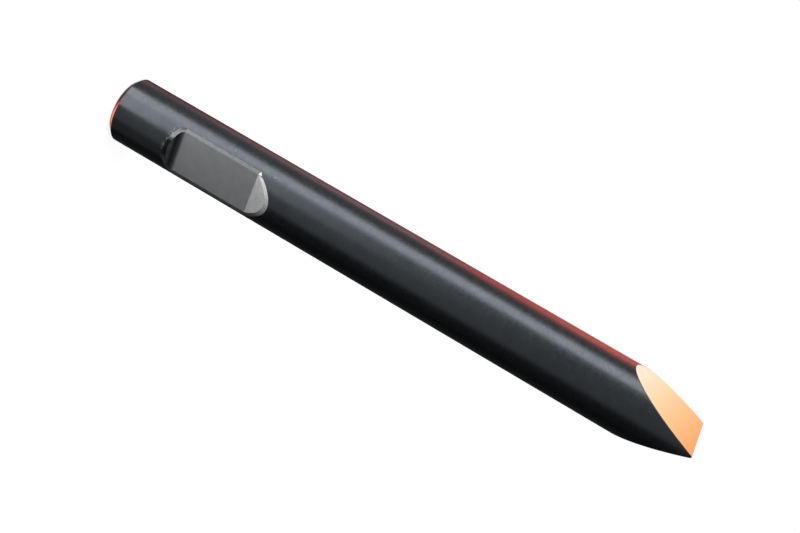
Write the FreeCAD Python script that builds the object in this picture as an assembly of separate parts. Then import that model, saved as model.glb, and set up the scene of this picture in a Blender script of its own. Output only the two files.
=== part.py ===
import FreeCAD, Part
import math
import os

# Chisel of a hydraulic breaker, in millimetres.
# One forged and machined steel bar that stands on its struck end.
# The bar's axis is +Z, and the origin is the centre of the struck face.
# The two retainer flats face -Y and +Y, so the retainer bars lie along X.
# The cutting edge lies along Y, and the two bevels face -X and +X.

# The round bar
bar_diameter = 105.0
bar_length = 975.0
head_chamfer = 8.0

# The wedge that ends in the cutting edge
bevel_length = 124.0
edge_land = 3.0

# The two opposed flats that the retainer bars run in
flat_depth = 14.8
flat_start = 114.5
flat_length = 133.0
stop_wall_run = 10.5
stop_wall_cove = 10.0
runout_run = 31.5
rim_break_on_barrel = 4.5
rim_break_on_flat = 3.5
flat_turns = (0.0, 180.0)

# How far a cutting shape stands out past the bar
overshoot = 20.0
surface_tolerance = 0.001

bar_radius = bar_diameter / 2
flat_distance = bar_radius - flat_depth
flat_end = flat_start + flat_length
origin = FreeCAD.Vector(0, 0, 0)
axis = FreeCAD.Vector(0, 0, 1)


def polygon_face(points):
    return Part.Face(Part.makePolygon(points + points[:1]))


def round_bar():
    """Turned bar: half of its outline, revolved about the axis."""
    outline = [
        origin,
        FreeCAD.Vector(bar_radius - head_chamfer, 0, 0),
        FreeCAD.Vector(bar_radius, 0, head_chamfer),
        FreeCAD.Vector(bar_radius, 0, bar_length),
        FreeCAD.Vector(0, 0, bar_length),
    ]
    full_turn = 360
    return polygon_face(outline).revolve(origin, axis, full_turn)


def cove_arc(before, corner, after, radius):
    """Arc that rounds the corner between two straight runs, with its two tangent points."""
    to_before = (before - corner).normalize()
    to_after = (after - corner).normalize()
    half_angle = to_before.getAngle(to_after) / 2
    tangent_length = radius / math.tan(half_angle)
    start = corner + to_before * tangent_length
    end = corner + to_after * tangent_length
    towards_centre = (to_before + to_after).normalize()
    centre = corner + towards_centre * (radius / math.sin(half_angle))
    middle = centre - towards_centre * radius
    return start, middle, end


def flat_cutter():
    """Milling path of the -Y flat, seen along X: steep stop wall, flat, long run-out."""
    floor_y = -flat_distance
    outside_y = -bar_radius - overshoot
    rise = flat_depth + overshoot
    stop_top = FreeCAD.Vector(0, outside_y, flat_start - rise * stop_wall_run / flat_depth)
    stop_corner = FreeCAD.Vector(0, floor_y, flat_start)
    runout_corner = FreeCAD.Vector(0, floor_y, flat_end)
    runout_top = FreeCAD.Vector(0, outside_y, flat_end + rise * runout_run / flat_depth)
    cove_start, cove_middle, cove_end = cove_arc(
        stop_top, stop_corner, runout_corner, stop_wall_cove)
    path = Part.Wire([
        Part.LineSegment(stop_top, cove_start).toShape(),
        Part.Arc(cove_start, cove_middle, cove_end).toShape(),
        Part.LineSegment(cove_end, runout_corner).toShape(),
        Part.LineSegment(runout_corner, runout_top).toShape(),
        Part.LineSegment(runout_top, stop_top).toShape(),
    ])
    half_width = bar_radius + overshoot
    section = Part.Face(path)
    section.translate(FreeCAD.Vector(-half_width, 0, 0))
    return section.extrude(FreeCAD.Vector(2 * half_width, 0, 0))


def on_barrel(edge):
    """True for an edge that lies on the bar's round surface."""
    samples = 5
    return all(abs(math.hypot(point.x, point.y) - bar_radius) < surface_tolerance
               for point in edge.discretize(samples))


def rim_edges(body):
    """The edges where the flats and their end walls meet the round surface."""
    low = flat_start - stop_wall_run - surface_tolerance
    high = flat_end + runout_run + surface_tolerance
    rim = []
    for edge in body.Edges:
        inside = edge.BoundBox.ZMin > low and edge.BoundBox.ZMax < high
        if inside and on_barrel(edge):
            rim.append(edge)
    return rim


def bar_with_one_flat():
    """The bar with the -Y flat milled and the sharp rim around it broken."""
    milled = round_bar().cut(flat_cutter()).Solids[0]
    return milled.makeChamfer(rim_break_on_barrel, rim_break_on_flat, rim_edges(milled))


def bar_with_retainer_flats():
    """The same flat at each turn about the axis: what the turned copies have in common."""
    milled = bar_with_one_flat()
    body = round_bar()
    for turn in flat_turns:
        turned = milled.copy()
        turned.rotate(origin, axis, turn)
        body = body.common(turned)
    return body


def wedge_envelope():
    """Prism along Y that the bar's end is cut to: two bevels and the land between them."""
    half_land = edge_land / 2
    bevel_slope = bevel_length / (bar_radius - half_land)
    half_width = bar_radius + overshoot
    shoulder_z = bar_length - bevel_length - overshoot * bevel_slope
    outline = [
        FreeCAD.Vector(-half_width, 0, -overshoot),
        FreeCAD.Vector(half_width, 0, -overshoot),
        FreeCAD.Vector(half_width, 0, shoulder_z),
        FreeCAD.Vector(half_land, 0, bar_length),
        FreeCAD.Vector(-half_land, 0, bar_length),
        FreeCAD.Vector(-half_width, 0, shoulder_z),
    ]
    section = polygon_face(outline)
    section.translate(FreeCAD.Vector(0, -half_width, 0))
    return section.extrude(FreeCAD.Vector(0, 2 * half_width, 0))


def breaker_chisel():
    body = bar_with_retainer_flats().common(wedge_envelope())
    return body.removeSplitter().Solids[0]


def write_part(node, shape):
    shape.exportStep(os.path.join("parts", node + ".step"))
    print(node, "valid", shape.isValid(), "faces", len(shape.Faces), "volume", round(shape.Volume))


os.makedirs("parts", exist_ok=True)
write_part("breaker_chisel", breaker_chisel())
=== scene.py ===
import math

import bmesh
import bpy
from mathutils import Matrix, Vector


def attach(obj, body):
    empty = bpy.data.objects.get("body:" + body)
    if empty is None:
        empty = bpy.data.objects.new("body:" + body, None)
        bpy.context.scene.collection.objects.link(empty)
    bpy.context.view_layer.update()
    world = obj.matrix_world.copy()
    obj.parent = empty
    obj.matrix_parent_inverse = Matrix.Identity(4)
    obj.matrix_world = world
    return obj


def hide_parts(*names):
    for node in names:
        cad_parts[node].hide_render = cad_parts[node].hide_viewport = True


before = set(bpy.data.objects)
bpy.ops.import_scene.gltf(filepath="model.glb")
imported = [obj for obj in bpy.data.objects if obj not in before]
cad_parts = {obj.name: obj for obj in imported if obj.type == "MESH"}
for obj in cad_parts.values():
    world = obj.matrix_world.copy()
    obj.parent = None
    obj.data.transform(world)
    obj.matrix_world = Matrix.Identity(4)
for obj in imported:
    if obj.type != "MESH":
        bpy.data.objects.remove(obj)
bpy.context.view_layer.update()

# The chisel of a hydraulic breaker, in metres. It stands on its struck face along +Z.
# The two retainer flats face -Y and +Y, and the cutting edge lies along Y.

# Sizes as in the part's source.
bar_radius = 0.0525
bar_length = 0.975
head_chamfer = 0.008
bevel_length = 0.124
edge_land = 0.003
flat_depth = 0.0148
flat_start = 0.1145
flat_end = 0.2475
stop_wall_run = 0.0105
stop_wall_cove = 0.010
runout_run = 0.0315
flat_y = bar_radius - flat_depth

# Between these heights lie the flats with their end walls and broken rims.
below_flats = 0.09
above_flats = 0.29

# How wide the cutter of the flats is, and how far it reaches outwards.
cutter_width = 0.16
shave = 0.05

# The broken rim of a flat starts on an oval inside the bar and ends on a round just outside it.
rim_oval = (0.04906, 0.051)
rim_round = (0.0531, 0.0531)

# How the cutter flares between the two: how many times wider it gets, and, for each of its parts,
# how many times longer and how much further along the bar.
rim_wider = 1.27
rim_longer_at_stop = (1.41, -0.0035)
rim_longer_at_runout = (1.1, 0.008)
rim_longer_at_corner = (1, 0.003)

# How wide the broken rim of the part's source is on the barrel.
rim_on_barrel = 0.0045

# The small break that every other sharp edge has.
small_break = 0.0006

# How finely the round forms are sided.
bar_sides = 256
oval_sides = 128
round_sides = 512

# How close counts as the same place.
near = 0.001
very_near = 0.0001

# A face looks down where the Z of its normal is under this.
facing_down = -0.9

# Corners flatter than this are shaded smooth.
smooth_below = math.radians(8)

# Noise mostly runs between these two.
noise_span = (0.3, 0.7)

# How far a finish's roughness strays.
roughness_spread = 0.05

# The camera's place, the point near the middle of the bar that it looks at, and its roll in
# degrees, all solved from the bar's outline in the photograph.
camera_place = Vector((-0.823573, -1.561992, 0.792475))
camera_aim = Vector((-0.000101, 0.000053, 0.488198))
camera_roll = 120.287

# The camera's azimuth, in degrees.
camera_azimuth = 242.2


def start_camera():
    camera = bpy.data.cameras.new("camera")
    camera.lens = 55.22
    camera.sensor_width = 36
    camera.clip_end = 500
    stand = bpy.data.objects.new("camera", camera)
    bpy.context.scene.collection.objects.link(stand)
    level = (camera_aim - camera_place).to_track_quat("-Z", "Y").to_matrix().to_4x4()
    roll = Matrix.Rotation(math.radians(camera_roll), 4, "Z")
    stand.matrix_world = Matrix.Translation(camera_place) @ level @ roll
    bpy.context.scene.camera = stand


def deselect_all():
    bpy.ops.object.select_all(action="DESELECT")


def choose(piece):
    """Makes a piece the only one selected, and the active one."""
    deselect_all()
    bpy.context.view_layer.objects.active = piece
    piece.select_set(True)


def edit(piece):
    """Opens a piece for editing with nothing selected."""
    choose(piece)
    bpy.ops.object.mode_set(mode="EDIT")
    bpy.ops.mesh.select_all(action="DESELECT")


def done():
    bpy.ops.object.mode_set(mode="OBJECT")


def pick(piece, kind, wanted):
    """Selects the faces, edges or corners that pass a test of place or normal, and no others."""
    bpy.ops.mesh.select_all(action="DESELECT")
    bpy.ops.mesh.select_mode(type=kind)
    mesh = bmesh.from_edit_mesh(piece.data)
    mesh.normal_update()
    for part in {"FACE": mesh.faces, "EDGE": mesh.edges, "VERT": mesh.verts}[kind]:
        if wanted(part):
            part.select_set(True)
    bmesh.update_edit_mesh(piece.data)


def pick_faces(piece, wanted):
    pick(piece, "FACE", wanted)


def pick_edges(piece, wanted):
    pick(piece, "EDGE", wanted)


def pick_corners(piece, wanted):
    pick(piece, "VERT", wanted)


def apply_place():
    """Leaves the active form's object at the origin, unturned and unscaled."""
    bpy.ops.object.transform_apply(location=True, rotation=True, scale=True)


def apply_modifier(piece, name):
    choose(piece)
    bpy.ops.object.modifier_apply(modifier=name)


def turned_bar():
    """The turned bar: one long cylinder, its foot drawn in to the head chamfer."""
    deselect_all()
    bpy.ops.mesh.primitive_cylinder_add(
        vertices=bar_sides, radius=bar_radius, depth=bar_length - head_chamfer,
        location=(0, 0, (bar_length + head_chamfer) / 2))
    bar = bpy.context.object
    bar.name = "chisel"
    apply_place()
    edit(bar)
    pick_faces(bar, lambda face: face.normal.z < facing_down)
    bpy.ops.mesh.extrude_region_move(TRANSFORM_OT_translate={"value": (0, 0, -head_chamfer)})
    drawn_in = 1 - head_chamfer / bar_radius
    bpy.ops.transform.resize(value=(drawn_in, drawn_in, 1), center_override=(0, 0, 0))
    done()
    return bar


def round_form(name, radii, sides):
    """A plain round or oval form as high as the flats need, for shaping another form."""
    low, high = 0.03, 0.36
    deselect_all()
    bpy.ops.mesh.primitive_cylinder_add(
        vertices=sides, radius=1, depth=1, location=(0, 0, (low + high) / 2),
        scale=(*radii, high - low))
    form = bpy.context.object
    form.name = name
    apply_place()
    return form


def combine(piece, other, operation):
    """Cuts one form with another, or keeps what they share, and takes the other one away."""
    cut = piece.modifiers.new(operation, "BOOLEAN")
    cut.operation = operation
    cut.solver = "EXACT"
    cut.object = other
    apply_modifier(piece, operation)
    bpy.data.objects.remove(other, do_unlink=True)


def cutter_path():
    """The milling path as a block: steep stop wall with its cove, flat, long run-out."""
    deselect_all()
    bpy.ops.mesh.primitive_cube_add(
        size=1, location=(0, -flat_y - shave / 2, (flat_start + flat_end) / 2),
        scale=(cutter_width, shave, flat_end - flat_start))
    cutter = bpy.context.object
    cutter.name = "flat_cutter"
    apply_place()
    edit(cutter)

    def lies_at(edge, y, z):
        return all(abs(corner.co.y - y) < near and abs(corner.co.z - z) < near
                   for corner in edge.verts)

    pick_edges(cutter, lambda edge: lies_at(edge, -flat_y - shave, flat_start))
    bpy.ops.transform.translate(value=(0, 0, -shave * stop_wall_run / flat_depth))
    pick_edges(cutter, lambda edge: lies_at(edge, -flat_y - shave, flat_end))
    bpy.ops.transform.translate(value=(0, 0, shave * runout_run / flat_depth))
    pick_edges(cutter, lambda edge: lies_at(edge, -flat_y, flat_start))
    wall_angle = math.atan2(flat_depth, stop_wall_run)
    bpy.ops.mesh.bevel(
        offset=stop_wall_cove * math.tan(wall_angle / 2), offset_type="OFFSET",
        segments=12, affect="EDGES")
    done()
    return cutter


def out_of_oval(face):
    """About 1 for a face on the oval where the broken rim starts, and more for one outside it."""
    centre = face.calc_center_median()
    return math.hypot(centre.x / rim_oval[0], centre.y / rim_oval[1])


def open_at_oval(cutter):
    """Takes away the cutter's outer faces, so that it is open where the broken rim starts."""
    same_corner = 1e-6
    just_under_oval = 0.998
    edit(cutter)
    bpy.ops.mesh.select_all(action="SELECT")
    bpy.ops.mesh.remove_doubles(threshold=same_corner)
    pick_faces(cutter, lambda face: out_of_oval(face) > just_under_oval)
    bpy.ops.mesh.delete(type="FACE")
    done()


def flare_skirt(cutter):
    """Draws a skirt from the cutter's open edge and flares it: stop end, run-out and corner."""
    past_cove = flat_start + 0.02
    parts = [
        (lambda z: z < past_cove, flat_start, rim_wider, rim_longer_at_stop),
        (lambda z: z > flat_end + very_near, flat_end, 1, rim_longer_at_runout),
        (lambda z: abs(z - flat_end) < very_near, flat_end, rim_wider, rim_longer_at_corner)]
    edit(cutter)
    pick_edges(cutter, lambda edge: edge.is_boundary)
    bpy.ops.mesh.extrude_region_move()
    for wanted, middle, wider, (longer, further) in parts:
        pick_corners(cutter, lambda corner: corner.is_boundary and wanted(corner.co.z))
        bpy.ops.transform.resize(value=(wider, 1, longer), center_override=(0, 0, middle))
        bpy.ops.transform.translate(value=(0, 0, further))
    done()


def wrap_skirt(cutter):
    """Brings the skirt's outer edge onto the round that lies just outside the bar."""
    cutter.vertex_groups.new(name="skirt")
    edit(cutter)
    pick_edges(cutter, lambda edge: edge.is_boundary)
    bpy.ops.object.vertex_group_assign()
    done()
    outer_round = round_form("outer_round", rim_round, round_sides)
    wrap = cutter.modifiers.new("skirt", "SHRINKWRAP")
    wrap.target = outer_round
    wrap.wrap_method = "NEAREST_SURFACEPOINT"
    wrap.vertex_group = "skirt"
    apply_modifier(cutter, "skirt")
    bpy.data.objects.remove(outer_round, do_unlink=True)


def close_cutter(cutter):
    """Draws the skirt's outer edge straight out of the bar and closes the cutter there."""
    edit(cutter)
    pick_edges(cutter, lambda edge: edge.is_boundary)
    bpy.ops.mesh.extrude_region_move()
    bpy.ops.transform.resize(value=(1, 0, 1), center_override=(0, -bar_radius - shave, 0))
    bpy.ops.mesh.edge_face_add()
    bpy.ops.mesh.select_all(action="SELECT")
    bpy.ops.mesh.normals_make_consistent(inside=False)
    done()


def flat_cutter():
    """The cutter of both flats, with the skirts that break their rims as it goes in."""
    cutter = cutter_path()
    combine(cutter, round_form("inner_oval", rim_oval, oval_sides), "INTERSECT")
    open_at_oval(cutter)
    flare_skirt(cutter)
    wrap_skirt(cutter)
    close_cutter(cutter)
    mirror = cutter.modifiers.new("both_sides", "MIRROR")
    mirror.use_axis = (False, True, False)
    mirror.use_mirror_merge = False
    apply_modifier(cutter, "both_sides")
    return cutter


def cut_bevels(bar):
    """Cuts the two bevels; the land between them is the cutting edge."""
    run = bar_radius - edge_land / 2
    for side in (-1, 1):
        edit(bar)
        bpy.ops.mesh.select_all(action="SELECT")
        bpy.ops.mesh.bisect(
            plane_co=(side * edge_land / 2, 0, bar_length),
            plane_no=(side * bevel_length, 0, run),
            use_fill=True, clear_outer=True)
        done()


def chisel():
    bar = turned_bar()
    combine(bar, flat_cutter(), "DIFFERENCE")
    cut_bevels(bar)
    return bar


def node(tree, kind, **settings):
    made = tree.nodes.new("ShaderNode" + kind)
    for key, value in settings.items():
        setattr(made, key, value)
    return made


def ramp(tree, source, stops):
    """A colour ramp with its stops given as place and colour."""
    made = node(tree, "ValToRGB")
    tree.links.new(source, made.inputs["Fac"])
    steps = made.color_ramp.elements
    while len(steps) < len(stops):
        steps.new(0.5)
    for step, (place, colour) in zip(steps, stops):
        step.position = place
        step.color = (*colour, 1)
    return made.outputs["Color"]


def object_place(tree):
    """Object coordinates, whole and split."""
    place = node(tree, "TexCoord").outputs["Object"]
    split = node(tree, "SeparateXYZ")
    tree.links.new(place, split.inputs[0])
    return place, split.outputs


def maths(tree, operation, first, second=0):
    made = node(tree, "Math", operation=operation)
    for socket, value in zip(made.inputs, (first, second)):
        if isinstance(value, (int, float)):
            socket.default_value = value
        else:
            tree.links.new(value, socket)
    return made.outputs[0]


def size_of(tree, value):
    """A value without its sign."""
    return maths(tree, "ABSOLUTE", value)


def away_from(tree, value, middle):
    """How far a value lies from a middle, to either side."""
    return size_of(tree, maths(tree, "SUBTRACT", value, middle))


def spread(tree, value, low, high, to_low=0, to_high=1):
    """Turns a run of values into another run."""
    made = node(tree, "MapRange")
    made.inputs["From Min"].default_value = low
    made.inputs["From Max"].default_value = high
    made.inputs["To Min"].default_value = to_low
    made.inputs["To Max"].default_value = to_high
    tree.links.new(value, made.inputs["Value"])
    return made.outputs["Result"]


def noise(tree, place, grains, detail):
    """Noise with so many grains to the metre along each axis."""
    stretched = node(tree, "VectorMath", operation="MULTIPLY")
    stretched.inputs[1].default_value = grains
    tree.links.new(place, stretched.inputs[0])
    made = node(tree, "TexNoise")
    made.inputs["Scale"].default_value = 1
    made.inputs["Detail"].default_value = detail
    tree.links.new(stretched.outputs[0], made.inputs["Vector"])
    return made.outputs["Fac"]


def spots(tree, place, cells_per_metre, edge, middle, strength=1):
    """Scattered round spots, which fade out between their middle and their edge."""
    cells = node(tree, "TexVoronoi")
    cells.inputs["Scale"].default_value = cells_per_metre
    tree.links.new(place, cells.inputs["Vector"])
    return spread(tree, cells.outputs["Distance"], edge, middle, 0, strength)


def turned_rings(tree, place):
    """Rings about the bar's axis, as facing the bar's end in a lathe leaves them."""
    made = node(tree, "TexWave", wave_type="RINGS", rings_direction="Z")
    for name, value in (("Scale", 90), ("Distortion", 1.5), ("Detail", 2)):
        made.inputs[name].default_value = value
    tree.links.new(place, made.inputs["Vector"])
    return made.outputs["Fac"]


def worked_steel(name, colour, roughness, marks, depth, mottle, grains=55):
    """Steel with tool marks of a given run and depth, mottled in tone and gloss."""
    fine = 3 * grains
    dull, glossy = roughness + roughness_spread, roughness - roughness_spread
    material = bpy.data.materials.new(name)
    material.use_nodes = True
    tree = material.node_tree
    shader = tree.nodes["Principled BSDF"]
    shader.inputs["Metallic"].default_value = 1
    place, axes = object_place(tree)
    tone = node(tree, "VectorMath", operation="SCALE")
    if callable(colour):
        tree.links.new(colour(tree, place, axes), tone.inputs[0])
    else:
        tone.inputs[0].default_value = colour
    patches = noise(tree, place, (grains, grains, grains), detail=4)
    tree.links.new(
        spread(tree, patches, *noise_span, 1 - mottle, 1 + mottle), tone.inputs["Scale"])
    tree.links.new(tone.outputs[0], shader.inputs["Base Color"])
    gloss = noise(tree, place, (fine, fine, fine), detail=3)
    tree.links.new(spread(tree, gloss, *noise_span, glossy, dull), shader.inputs["Roughness"])
    height = marks(tree, place) if callable(marks) else noise(tree, place, marks, detail=2)
    bump = node(tree, "Bump")
    bump.inputs["Distance"].default_value = depth
    tree.links.new(height, bump.inputs["Height"])
    tree.links.new(bump.outputs["Normal"], shader.inputs["Normal"])
    return material


def black_with_chips(tree, place, axes):
    """Thin black finish, with a few chips beside the flats and specks along the stop rim."""
    middle_of_flats = 0.18
    all_chips, no_chips = 0.09, 0.16
    chip = spots(tree, place, 75, edge=0.07, middle=0.03, strength=0.4)
    beside_flats = spread(tree, away_from(tree, axes["Z"], middle_of_flats), no_chips, all_chips)
    chips = maths(tree, "MULTIPLY", chip, beside_flats)
    bare = maths(tree, "MAXIMUM", chips, specks_along_stop_rim(tree, place, axes))
    return ramp(tree, bare, [
        (0.0, (0.0298, 0.0326, 0.0358)),
        (0.4, (0.08, 0.083, 0.087)),
        (1.0, (0.26, 0.265, 0.27))])


def specks_along_stop_rim(tree, place, axes):
    """Close specks on the barrel, up to 7 mm from the rim that the retainer bar strikes."""
    all_specks, no_specks = 0.001, 0.007
    below_flat, beside_flat = 0.034, 0.038
    speck = spots(tree, place, 420, edge=0.42, middle=0.25)
    rise = size_of(tree, axes["Y"])
    rim_z = spread(
        tree, rise, flat_y, bar_radius,
        flat_start - rim_on_barrel, flat_start - stop_wall_run - rim_on_barrel)
    close = maths(
        tree, "MULTIPLY", spread(tree, away_from(tree, rim_z, axes["Z"]), no_specks, all_specks),
        spread(tree, rise, below_flat, beside_flat))
    crowd = spread(tree, noise(tree, place, (160, 160, 160), detail=2), 0.42, 0.58)
    return maths(tree, "MULTIPLY", speck, maths(tree, "MULTIPLY", close, crowd))


def bevel_tint_and_painted_reflection(tree, place, axes):
    """Heat tint, orange at the cutting edge, paled to cream at the shoulder by a painted
    reflection, a little askew.
    """
    askew = -0.2
    tilt = maths(tree, "MULTIPLY", axes["Y"], askew)
    along = maths(tree, "ADD", axes["Z"], tilt)
    return ramp(tree, spread(tree, along, bar_length - bevel_length, bar_length), [
        (0.0, (1.0, 0.82, 0.705)),
        (0.12, (1.0, 0.796, 0.577)),
        (0.4, (1.0, 0.66, 0.38)),
        (0.64, (1.0, 0.54, 0.242)),
        (0.88, (1.0, 0.43, 0.153)),
        (1.0, (1.0, 0.365, 0.113))])


def painted_reflection_on_chamfer(tree, place, axes):
    """Painted reflection: orange on the two sides that face as the flats do, dull purple between.
    """
    reach = maths(tree, "DIVIDE", size_of(tree, axes["Y"]), bar_radius - head_chamfer / 2)
    return ramp(tree, reach, [
        (0.17, (0.045, 0.037, 0.048)),
        (0.34, (0.068, 0.053, 0.08)),
        (0.5, (0.09, 0.075, 0.1)),
        (0.77, (0.05, 0.052, 0.065)),
        (0.88, (0.19, 0.053, 0.048)),
        (0.93, (0.5, 0.1, 0.08)),
        (0.966, (1.0, 0.18, 0.13)),
        (1.0, (1.0, 0.5, 0.28))])


def painted_shade_and_highlight_at_stop(tree, place, axes):
    """Milled steel, with painted shade on the stop wall and in its cove, and a painted highlight
    line on the wall.
    """
    foot_of_stop, past_cove = 0.1, 0.13
    return ramp(tree, spread(tree, axes["Z"], foot_of_stop, past_cove), [
        (0.0, (0.06, 0.061, 0.065)),
        (0.25, (0.16, 0.161, 0.168)),
        (0.36, (0.035, 0.036, 0.04)),
        (0.52, (0.06, 0.061, 0.065)),
        (0.66, (0.232, 0.24, 0.248)),
        (1.0, (0.25, 0.26, 0.27))])


def across_flat(tree, axes):
    """Runs from 0 to 1 across a flat, along the retainer bar."""
    half_width = 0.04
    return spread(tree, axes["X"], -half_width, half_width)


def painted_light_of_stop_rim(tree, place, axes):
    """Lighter on the two sides and nearly black between: painted highlights and painted shade."""
    return ramp(tree, across_flat(tree, axes), [
        (0.03, (0.05, 0.051, 0.054)),
        (0.06, (0.15, 0.152, 0.157)),
        (0.15, (0.3, 0.305, 0.315)),
        (0.23, (0.29, 0.295, 0.305)),
        (0.27, (0.12, 0.122, 0.127)),
        (0.32, (0.013, 0.0133, 0.0155)),
        (0.5, (0.014, 0.0145, 0.017)),
        (0.6, (0.02, 0.0205, 0.0235)),
        (0.66, (0.08, 0.083, 0.088)),
        (0.73, (0.15, 0.153, 0.158)),
        (0.85, (0.2, 0.205, 0.21))])


def runout_rim_with_painted_shade(tree, place, axes):
    """Ground bright, with painted shade darkening it towards one side and in a thin line near the
    other.
    """
    return ramp(tree, across_flat(tree, axes), [
        (0.07, (0.23, 0.23, 0.23)),
        (0.088, (0.17, 0.17, 0.17)),
        (0.1, (0.52, 0.52, 0.52)),
        (0.3, (0.5, 0.5, 0.505)),
        (0.4, (0.43, 0.43, 0.435)),
        (0.5, (0.46, 0.46, 0.465)),
        (0.58, (0.41, 0.41, 0.415)),
        (0.66, (0.32, 0.32, 0.325)),
        (0.73, (0.27, 0.27, 0.275)),
        (0.8, (0.17, 0.17, 0.175))])


def wear_of_edges(tree, place, axes):
    """The small edge breaks: nearly black at the head, a little warmer at the wedge."""
    return ramp(tree, axes["Z"], [
        (0.3, (0.03, 0.029, 0.03)),
        (0.8, (0.05, 0.046, 0.04))])


def machined_finishes():
    """The finish of each machined, ground or worn surface, the turned barrel's first."""
    turning = (5, 5, 700)
    milling = (12, 12, 450)
    grinding_of_runout = (20, 200, 200)
    grinding_of_bevel = (150, 8, 500)
    filing = (60, 60, 60)
    wear = (90, 90, 90)
    return [
        worked_steel("black_finish", black_with_chips,
                     roughness=0.3, marks=turning, depth=1.2e-5, mottle=0.06),
        worked_steel("milled_flat", painted_shade_and_highlight_at_stop,
                     roughness=0.35, marks=milling, depth=2e-5, mottle=0.05),
        worked_steel("bright_runout", (0.8, 0.8, 0.8),
                     roughness=0.3, marks=grinding_of_runout, depth=8e-6, mottle=0.05, grains=40),
        worked_steel("broken_rim", (0.172, 0.175, 0.181),
                     roughness=0.38, marks=filing, depth=2e-5, mottle=0.08, grains=80),
        # The stop rim's colour holds painted highlights and painted shade.
        worked_steel("broken_stop_rim", painted_light_of_stop_rim,
                     roughness=0.35, marks=filing, depth=2e-5, mottle=0.15, grains=150),
        # The run-out rim is ground bright steel with painted shade across it.
        worked_steel("broken_runout_rim", runout_rim_with_painted_shade,
                     roughness=0.35, marks=filing, depth=2e-5, mottle=0.08, grains=80),
        # The bevel's orange is heat tint; its cream towards the shoulder is a painted reflection.
        worked_steel("bevel_heat_tint_and_painted_reflection", bevel_tint_and_painted_reflection,
                     roughness=0.35, marks=grinding_of_bevel, depth=8e-6, mottle=0.015, grains=30),
        # The head chamfer's orange and purple are a painted reflection of warm light.
        worked_steel("chamfer_painted_reflection", painted_reflection_on_chamfer,
                     roughness=0.35, marks=turning, depth=3e-5, mottle=0.06),
        worked_steel("struck_steel", (0.3, 0.295, 0.29),
                     roughness=0.35, marks=turned_rings, depth=3e-5, mottle=0.15, grains=90),
        worked_steel("worn_edge", wear_of_edges,
                     roughness=0.35, marks=wear, depth=1e-5, mottle=0.25, grains=200)]


def dull_at_a_slant(name, tint):
    """Takes gloss from a finish where it is seen nearly edge-on."""
    shader = bpy.data.materials[name].node_tree.nodes["Principled BSDF"]
    shader.inputs["Specular Tint"].default_value = (*tint, 1)


def is_barrel(face):
    """True for a face of the bar's round surface, whose middle lies a hair inside the round."""
    hair = 0.0003
    slant = 0.01
    return face.calc_center_median().xy.length > bar_radius - hair and abs(face.normal.z) < slant


def break_edges(bar, finish):
    """Breaks the sharp edges of the wedge and of the head by a little, and leaves them worn."""
    sharp = math.radians(15)

    def at_head_or_wedge(edge):
        z = edge.verts[0].co.z
        return near < z < below_flats or z > above_flats

    edit(bar)
    pick_edges(bar, lambda edge: edge.calc_face_angle() > sharp and at_head_or_wedge(edge))
    bpy.ops.mesh.bevel(offset=small_break, segments=2, affect="EDGES", material=finish)
    done()


def finish_zones(bar):
    """Gives each machined or ground surface its own finish; the turned barrel keeps the first."""
    past_oval = 1.0005
    runout_slant = -0.03
    chamfer_slant = -0.5
    stop_rim_end = flat_start + 0.005
    head_end = 0.01
    for finish in machined_finishes():
        bar.data.materials.append(finish)
    # The chamfer's colour is a painted reflection; only its gloss is dulled here.
    dull_at_a_slant("chamfer_painted_reflection", (0.62, 0.42, 0.45))
    dull_at_a_slant("broken_stop_rim", (0.3, 0.3, 0.31))

    def height(face):
        return face.calc_center_median().z

    def milled(face):
        return below_flats < height(face) < above_flats and not is_barrel(face)

    def rim(face):
        return milled(face) and out_of_oval(face) > past_oval

    zones = {
        "milled_flat": milled,
        "bright_runout": lambda face: milled(face) and face.normal.z < runout_slant,
        "broken_rim": rim,
        "broken_stop_rim": lambda face: rim(face) and height(face) < stop_rim_end,
        "broken_runout_rim": lambda face: rim(face) and height(face) > flat_end,
        "bevel_heat_tint_and_painted_reflection": lambda face: (
            height(face) > bar_length - bevel_length and not is_barrel(face)),
        "chamfer_painted_reflection": lambda face: (
            facing_down < face.normal.z < chamfer_slant and height(face) < head_end),
        "struck_steel": lambda face: face.normal.z < facing_down}
    for finish, wanted in zones.items():
        edit(bar)
        pick_faces(bar, wanted)
        bar.active_material_index = bar.data.materials.find(finish)
        bpy.ops.object.material_slot_assign()
        done()
    break_edges(bar, bar.data.materials.find("worn_edge"))


def seen_path(tree):
    """1 where the camera, gloss or glass looks at the surface, 0 where it gives light."""
    path = node(tree, "LightPath").outputs
    either = maths(tree, "MAXIMUM", path["Is Camera Ray"], path["Is Glossy Ray"])
    return maths(tree, "MAXIMUM", either, path["Is Transmission Ray"])


def matt_grey(tree, grey):
    made = node(tree, "BsdfDiffuse")
    made.inputs["Color"].default_value = (grey, grey, grey, 1)
    return made


def studio_floor():
    """Pale floor that looks white and keeps a faint shadow."""
    deselect_all()
    bpy.ops.mesh.primitive_circle_add(vertices=96, radius=60, fill_type="NGON")
    floor = bpy.context.object
    floor.name = "studio_floor"
    material = bpy.data.materials.new("white_floor")
    material.use_nodes = True
    tree = material.node_tree
    tree.nodes.clear()
    out = node(tree, "OutputMaterial")
    mix = node(tree, "MixShader")
    paper = matt_grey(tree, 0.8)
    thin = matt_grey(tree, 0.28)
    glow = node(tree, "Emission")
    glow.inputs["Strength"].default_value = 0.84
    both = node(tree, "AddShader")
    tree.links.new(thin.outputs[0], both.inputs[0])
    tree.links.new(glow.outputs[0], both.inputs[1])
    tree.links.new(seen_path(tree), mix.inputs["Fac"])
    tree.links.new(paper.outputs[0], mix.inputs[1])
    tree.links.new(both.outputs[0], mix.inputs[2])
    tree.links.new(mix.outputs[0], out.inputs["Surface"])
    floor.data.materials.append(material)


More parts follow.
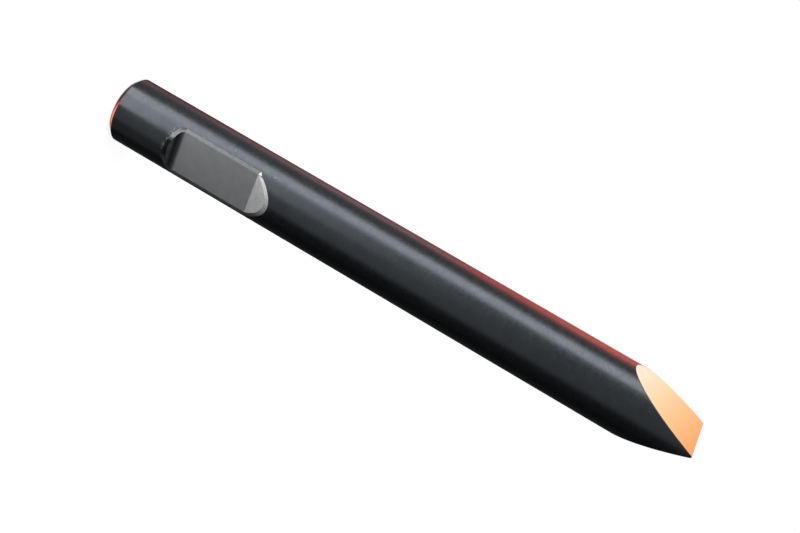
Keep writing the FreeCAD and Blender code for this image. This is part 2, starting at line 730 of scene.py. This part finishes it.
def studio_world():
    """Plain white world, which lights the object at a lower strength than it shows."""
    strength_of_light, strength_seen = 0.6, 1
    world = bpy.data.worlds.new("studio")
    bpy.context.scene.world = world
    world.use_nodes = True
    tree = world.node_tree
    back = tree.nodes["Background"]
    strength = spread(tree, seen_path(tree), 0, 1, strength_of_light, strength_seen)
    tree.links.new(strength, back.inputs["Strength"])
    back.inputs["Color"].default_value = (1, 1, 1, 1)


def studio_card(name, colour, strength, fade=None, upright=False):
    """Makes the active form a studio card that only reflections show.

    A fade is a reach, and levels at shares of it. It runs from the origin, or upwards if upright.
    """
    made = bpy.context.object
    made.name = name
    material = bpy.data.materials.new(name)
    material.use_nodes = True
    tree = material.node_tree
    tree.nodes.clear()
    out = node(tree, "OutputMaterial")
    glow = node(tree, "Emission")
    glow.inputs["Color"].default_value = (*colour, 1)
    glow.inputs["Strength"].default_value = strength
    if fade:
        reach, stops = fade
        place, axes = object_place(tree)
        run = axes["Z"]
        if not upright:
            length = node(tree, "VectorMath", operation="LENGTH")
            tree.links.new(place, length.inputs[0])
            run = length.outputs["Value"]
        greys = [(share, (level, level, level)) for share, level in stops]
        level = ramp(tree, spread(tree, run, 0, reach), greys)
        tree.links.new(maths(tree, "MULTIPLY", level, strength), glow.inputs["Strength"])
    tree.links.new(glow.outputs[0], out.inputs["Surface"])
    made.data.materials.append(material)
    made.visible_camera = False
    made.visible_diffuse = False
    made.visible_shadow = False


def folded_card(name, colour, strength, span, reach, high, lift, fade=None):
    """A card on the floor between two azimuths, as the camera sees them mirrored in the barrel.

    It runs outwards between the two distances of its reach, and may stand up at its far end.
    """
    deselect_all()
    bpy.ops.mesh.primitive_plane_add(size=2, location=(0, 0, lift))
    apply_place()
    card = bpy.context.object
    edit(card)
    for end, distance in zip((-1, 1), reach):
        for side, azimuth in zip((-1, 1), span):
            foot = math.radians((azimuth + camera_azimuth) / 2)
            line = math.radians(azimuth)
            start = Vector((end, side, lift))
            target = Vector((
                bar_radius * math.cos(foot) + distance * math.cos(line),
                bar_radius * math.sin(foot) + distance * math.sin(line), lift))
            pick_corners(card, lambda corner: (corner.co - start).length < very_near)
            bpy.ops.transform.translate(value=target - start)
    if high:
        halfway = sum(reach) / 2
        pick_edges(card, lambda edge: all(
            corner.co.xy.length > halfway for corner in edge.verts))
        bpy.ops.mesh.extrude_region_move(TRANSFORM_OT_translate={"value": (0, 0, high)})
    done()
    studio_card(name, colour, strength, fade)


def round_wall(name, colour, strength, span, distance, low, high, fade):
    """A wall that stands round the studio between two azimuths, its strength changing upwards."""
    deselect_all()
    bpy.ops.mesh.primitive_cylinder_add(
        vertices=120, radius=distance, depth=high - low, location=(0, 0, (low + high) / 2),
        end_fill_type="NOTHING")
    apply_place()
    wall = bpy.context.object
    edit(wall)

    def outside(face):
        centre = face.calc_center_median()
        azimuth = math.degrees(math.atan2(centre.y, centre.x)) % 360
        return not span[0] < azimuth < span[1]

    pick_faces(wall, outside)
    bpy.ops.mesh.delete(type="FACE")
    done()
    studio_card(name, colour, strength, fade, upright=True)


def softbox(name, azimuth, distance, height, width, tall, power, aim):
    lamp = bpy.data.lights.new(name, "AREA")
    lamp.shape = "RECTANGLE"
    lamp.size = width
    lamp.size_y = tall
    lamp.energy = power
    stand = bpy.data.objects.new(name, lamp)
    bpy.context.scene.collection.objects.link(stand)
    turn = math.radians(azimuth)
    place = Vector((distance * math.cos(turn), distance * math.sin(turn), height))
    stand.location = place
    stand.rotation_euler = (Vector(aim) - place).to_track_quat("-Z", "Y").to_euler()


def studio_cards():
    """The cards that the barrel mirrors as its pale, dark, red and rose bands."""
    white = (1, 1, 1)
    foot = 0.001
    folded_card("key_panel", white, 8.2, span=(171, 202), reach=(foot, 1.5), high=1.35, lift=0.006)
    folded_card(
        "shoulder_board", white, 7, span=(202, 246), reach=(foot, 5), high=0, lift=0.005,
        fade=(5, ((0.0, 0.92), (0.04, 0.85), (0.08, 0.62), (0.2, 0.45), (0.5, 0.23), (1.0, 0.13))))
    round_wall(
        "far_wall", white, 1, span=(222, 300), distance=5, low=0, high=1.5,
        fade=(1.5, ((0.0, 1.0), (0.29, 0.87), (0.66, 0.72), (1.0, 0.68))))
    folded_card("side_flag", white, 0.75, span=(123, 160), reach=(foot, 2), high=1.35, lift=0.004)
    for name, strength, span, start in [
            ("black_flag_front", 0.12, (294, 335), 0.3),
            ("black_flag_side", 0.06, (335, 378), foot),
            ("black_flag_back", 0.06, (378, 422), foot)]:
        folded_card(name, white, strength, span, reach=(start, 0.9), high=4.5, lift=0.002)
    folded_card("near_board", white, 0.38, span=(294, 335), reach=(foot, 0.3), high=0, lift=0.003)
    for name, strength, span in [("flat_board", 0.33, (294, 335)), ("flat_flag", 0.9, (258, 294))]:
        folded_card(name, white, strength, span, reach=(0.3, 0.85), high=0, lift=0.0025)
    folded_card("grey_flag", white, 0.2, span=(62, 102), reach=(foot, 1.7), high=1.3, lift=0.003)
    folded_card(
        "red_floor", (1, 0.2, 0.25), 0.85, span=(82, 106), reach=(foot, 1.5), high=0.4, lift=0.005,
        fade=(1.5, ((0.0, 0.6), (0.2, 0.5), (0.6, 0.85), (1.0, 1.0))))
    folded_card(
        "rose_floor", (1, 0.75, 0.78), 1.8, span=(106, 125), reach=(foot, 1.5), high=0.4,
        lift=0.0055, fade=(1.5, ((0.0, 0.66), (0.11, 0.5), (0.3, 0.68), (0.7, 0.85), (1.0, 1.0))))
    for name, colour, strength, span in [
            ("red_card", (1, 0.13, 0.08), 2.95, (84, 108)),
            ("rose_card", (1, 0.27, 0.24), 5.5, (108, 132))]:
        round_wall(
            name, colour, strength, span, distance=1.52, low=0.4, high=1.03,
            fade=(1.03, ((0.0, 0.7), (0.6, 0.71), (0.86, 1.0), (1.0, 1.0))))


start_camera()
piece = chisel()
finish_zones(piece)
choose(piece)
bpy.ops.object.shade_smooth_by_angle(angle=smooth_below)
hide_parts("breaker_chisel")
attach(piece, "root")
studio_floor()
studio_world()
softbox("overhead", azimuth=200, distance=2.2, height=2.6, width=2, tall=2, power=60,
        aim=(0, 0, 0.45))
studio_cards()
bpy.context.scene.view_settings.view_transform = "Standard"
